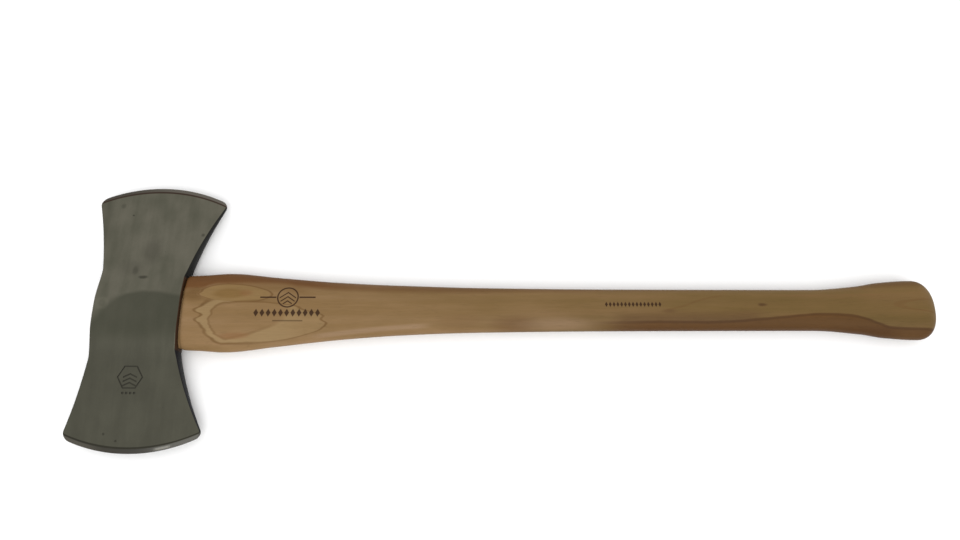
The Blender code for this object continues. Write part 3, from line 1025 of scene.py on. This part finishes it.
    # a knot, a bent dark ring line, a smudge beside it and the pointed figure on the knob
    knot = egg(look, x, y, (589.0, 6.4), 3.6, 6.0, 1.8)
    colour = look.blend(look.rise(knot, 1.3, 0.3) * 0.7 * flat, colour, matt_colour(76, 50, 28))
    bent = y - look.curve(x, ((498, 1.0), (515, 5.0), (530, 10.5), (552, 15.5), (575, 17.5)))
    bent_range = look.window(x, 505.0, 548.0, 12.0)
    colour = look.blend(look.line(bent, 0.7, 1.2) * bent_range * 0.4 * flat, colour, late)
    smudge = egg(look, x, y, (502.0, 0.2), 9.0, 8.0, 2.4)
    colour = look.blend(look.rise(smudge, 1.2, 0.2) * 0.4 * flat, colour, matt_colour(92, 64, 40))
    tip = egg(look, x, bent_y, (768.0, 5.4), 50.0, 50.0, 6.4, 1.0)
    colour = look.blend(look.line(tip - 1.0, 0.08, 0.12) * 0.45 * flat, colour, late)
    # a pale streak along the swell's lower edge, and a pale and a brown patch on the grip
    pale_streak = y - look.curve(x, ((160, -24.5), (200, -19.5), (240, -15.5), (285, -12.8)))
    streak_range = look.window(x, 180.0, 262.0, 20.0)
    colour = look.blend(look.line(pale_streak, 1.6, 2.4) * streak_range * 0.6, colour, cream_pink)
    pale_spot = egg(look, x, y, (400.0, -14.0), 38.0, 30.0, 7.5)
    colour = look.blend(look.rise(pale_spot, 1.5, 0.3) * look.rise(z, 0.0, 9.0) * 0.5, colour, cream_pink)
    brown_spot = egg(look, x, y, (305.0, -10.0), 24.0, 22.0, 8.0)
    colour = look.blend(look.rise(brown_spot, 1.3, 0.4) * 0.35, colour, matt_colour(122, 92, 58))

    # end grain at the knob's tip and at the tongue
    end = look.rise(abs(look.normal[0]), 0.82, 0.97)
    rings = look.math("SINE", y * 0.5 + z * 2.4 + look.noise((0.0, 0.08, 0.08), 2.0) * 5.0)
    colour = look.blend(end * 0.55, colour, look.blend(look.rise(rings, -0.6, 0.9), heart, base))

    # painted shade makes the grip's lower side a little darker, and painted light its upper side a little
    # lighter
    painted_side_light = look.rise(x, 290.0, 380.0) * (look.rise(y, 2.0, -12.0) - look.rise(y, 9.0, 19.0))
    shade = streaks * 0.10 + broad * 0.06 + fibres * 0.11 + blotches * 0.07
    shade = shade - pores * 0.22 - painted_side_light * 0.12 + 0.02
    colour = look.shade(colour, shade)
    mark = burnt_mark(look, top_side)
    colour = look.blend(mark * (0.9 + fibres * 0.1), colour, matt_colour(52, 31, 18))

    roughness = 0.50 + blotches * 0.04 + streaks * 0.03 + pores * 0.12 + mark * 0.15 + end * 0.12
    height = fibres * 0.35 + streaks * 0.3 - pores * 0.7 - mark * 1.2
    return look.finish(colour, roughness, height, 0.35, 0.0002, Specular_IOR_Level=0.10)


def wedge_wood_look():
    look = Look("pale_wedge_wood")
    streaks = look.noise((0.05, 0.35, 1.2), 4.0)
    fibres = look.noise((0.3, 1.6, 2.6), 3.0, 9.0)
    pores = look.rise(look.noise((1.5, 2.4, 3.0), 1.0, 17.0), 0.4, 0.7)
    colour = look.blend(look.rise(streaks, -0.5, 0.6), matt_colour(168, 138, 98),
                        matt_colour(196, 170, 128))
    colour = look.shade(colour, fibres * 0.08 - pores * 0.12)
    roughness = 0.58 + fibres * 0.05 + pores * 0.1
    return look.finish(colour, roughness, fibres * 0.5 - pores, 0.4, 0.0003)


# ---- stage --------------------------------------------------------------------------------------

def make_floor():
    half = FLOOR_HALF
    corners = [(-half, -half, 0.0), (half, -half, 0.0), (half, half, 0.0), (-half, half, 0.0)]
    floor = mesh_object("studio_floor", corners, [(0, 1, 2, 3)])
    floor.location.z = cad_low.z
    look = Look("pale_floor")
    mottle = look.noise((0.004, 0.004, 0.004), 2.0)
    colour = look.shade(FLOOR_COLOUR, mottle * 0.004)
    floor.data.materials.append(look.finish(colour, 0.8 + mottle * 0.02, mottle, 0.05, 0.0002))


def aim(thing, place, target):
    thing.location = place
    thing.rotation_euler = (Vector(target) - Vector(place)).to_track_quat("-Z", "Y").to_euler()


def make_light():
    world = bpy.data.worlds.new("studio_world")
    world.use_nodes = True
    background = world.node_tree.nodes["Background"]
    background.inputs["Color"].default_value = (1.0, 1.0, 1.0, 1.0)
    background.inputs["Strength"].default_value = WORLD_STRENGTH
    bpy.context.scene.world = world
    key = bpy.data.lights.new("key_light", "SUN")
    key.energy = KEY_STRENGTH
    key.angle = KEY_SPREAD
    made = bpy.data.objects.new("key_light", key)
    bpy.context.scene.collection.objects.link(made)
    aim(made, KEY_FROM, (0.0, 0.0, 0.0))


def make_camera():
    middle = 0.5 * (cad_low + cad_high)
    data = bpy.data.cameras.new("photo_camera")
    data.sensor_width = CAMERA_SENSOR
    data.lens = CAMERA_LENS
    data.clip_start = CAMERA_NEAR
    data.clip_end = CAMERA_FAR
    camera = bpy.data.objects.new("photo_camera", data)
    bpy.context.scene.collection.objects.link(camera)
    camera.location = middle + Vector(CAMERA_FROM_MIDDLE)
    camera.rotation_euler = (CAMERA_TILT, 0.0, 0.0)
    bpy.context.scene.camera = camera


def main():
    bpy.context.scene.view_settings.view_transform = "Standard"
    make_head(steel_look())
    make_handle(hickory_look())
    make_wood_wedge(wedge_wood_look())
    make_ring_wedge(ring_steel_look())
    make_floor()
    make_light()
    make_camera()


main()
